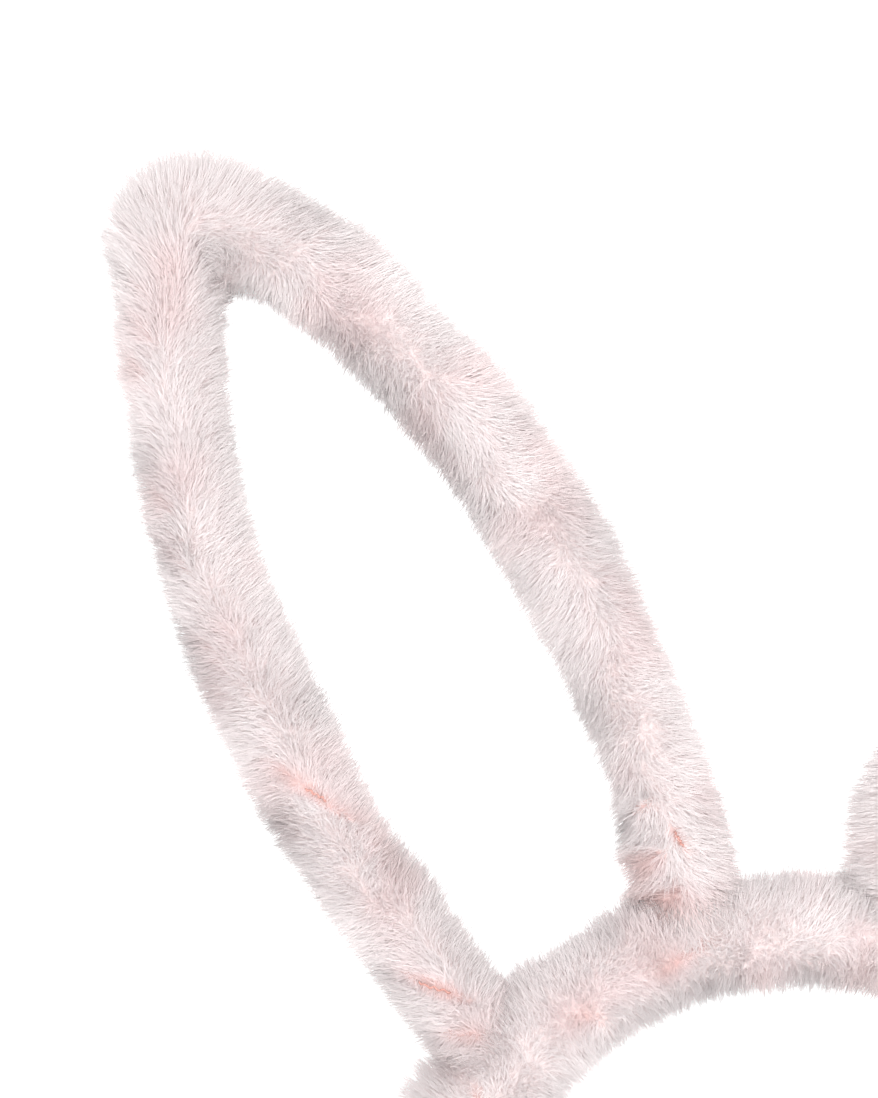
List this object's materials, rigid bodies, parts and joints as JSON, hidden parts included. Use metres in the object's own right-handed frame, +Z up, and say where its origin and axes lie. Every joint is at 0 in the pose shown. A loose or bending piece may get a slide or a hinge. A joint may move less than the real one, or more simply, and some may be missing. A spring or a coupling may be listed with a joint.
{
  "type": "animal ears headband",
  "caption": "Sprung headband in a plush fur sleeve, with a pair of tall pointed loop ears of fur-covered wire that tilt at the band and fold across the middle.",
  "frame": {"origin": "underside of the crown on the plane of symmetry, where the headband sits on the head", "axes": "+Z up through the crown, +X towards the headband's right side as seen from the front, -Y towards the front"},
  "size_m": [0.264, 0.026, 0.2883],
  "materials": {
    "plush_fur": "dense soft short-pile faux fur, pale pink",
    "foam_cord": "soft open-cell foam cord, off-white",
    "spring_steel": "flat spring-steel strip, satin",
    "ear_wire": "galvanised soft steel wire",
    "lashing_tape": "cloth binding tape",
    "cap_plastic": "soft moulded plastic",
    "fur_backing": "knitted fur backing with short pile"
  },
  "bodies": {
    "crown": {"band_core_crown": "spring_steel", "band_padding_crown": "foam_cord", "band_fur_crown": "plush_fur", "left_ear_wire_foot_outer": "ear_wire", "left_ear_lashing_outer": "lashing_tape", "left_ear_wire_foot_inner": "ear_wire", "left_ear_lashing_inner": "lashing_tape", "right_ear_wire_foot_outer": "ear_wire", "right_ear_lashing_outer": "lashing_tape", "right_ear_wire_foot_inner": "ear_wire", "right_ear_lashing_inner": "lashing_tape"},
    "leg_left": {"band_core_leg_left": "spring_steel", "band_padding_leg_left": "foam_cord", "band_fur_leg_left": "plush_fur", "band_tip_cap_left": "cap_plastic", "band_end_patch_left": "fur_backing"},
    "leg_right": {"band_core_leg_right": "spring_steel", "band_padding_leg_right": "foam_cord", "band_fur_leg_right": "plush_fur", "band_tip_cap_right": "cap_plastic", "band_end_patch_right": "fur_backing"},
    "left_ear_lower": {"left_ear_wire_outer_lower": "ear_wire", "left_ear_padding_outer_lower": "foam_cord", "left_ear_fur_outer_lower": "plush_fur", "left_ear_wire_inner_lower": "ear_wire", "left_ear_padding_inner_lower": "foam_cord", "left_ear_fur_inner_lower": "plush_fur"},
    "left_ear_upper": {"left_ear_wire_upper": "ear_wire", "left_ear_padding_upper": "foam_cord", "left_ear_fur_upper": "plush_fur"},
    "right_ear_lower": {"right_ear_wire_outer_lower": "ear_wire", "right_ear_padding_outer_lower": "foam_cord", "right_ear_fur_outer_lower": "plush_fur", "right_ear_wire_inner_lower": "ear_wire", "right_ear_padding_inner_lower": "foam_cord", "right_ear_fur_inner_lower": "plush_fur"},
    "right_ear_upper": {"right_ear_wire_upper": "ear_wire", "right_ear_padding_upper": "foam_cord", "right_ear_fur_upper": "plush_fur"}
  },
  "joints": [
    {"name": "leg_left_flex", "type": "hinge", "parent": "crown", "child": "leg_left", "pos_m": [-0.06269, 0, -0.02667], "axis": [0, 1, 0], "range_deg": [-4, 14], "stiffness_Nm_per_rad": 1.2},
    {"name": "leg_right_flex", "type": "hinge", "parent": "crown", "child": "leg_right", "pos_m": [0.06269, 0, -0.02667], "axis": [0, -1, 0], "range_deg": [-4, 14], "stiffness_Nm_per_rad": 1.2},
    {"name": "left_ear_tilt", "type": "hinge", "parent": "crown", "child": "left_ear_lower", "pos_m": [-0.03708, 0, -0.00345], "axis": [0.8363, 0, 0.5483], "range_deg": [-45, 45]},
    {"name": "left_ear_fold", "type": "hinge", "parent": "left_ear_lower", "child": "left_ear_upper", "pos_m": [-0.07312, 0, 0.06619], "axis": [0.8363, 0, 0.5483], "range_deg": [-30, 60]},
    {"name": "right_ear_tilt", "type": "hinge", "parent": "crown", "child": "right_ear_lower", "pos_m": [0.03708, 0, -0.00345], "axis": [0.8363, 0, -0.5483], "range_deg": [-45, 45]},
    {"name": "right_ear_fold", "type": "hinge", "parent": "right_ear_lower", "child": "right_ear_upper", "pos_m": [0.07312, 0, 0.06619], "axis": [0.8363, 0, -0.5483], "range_deg": [-30, 60]}
  ]
}
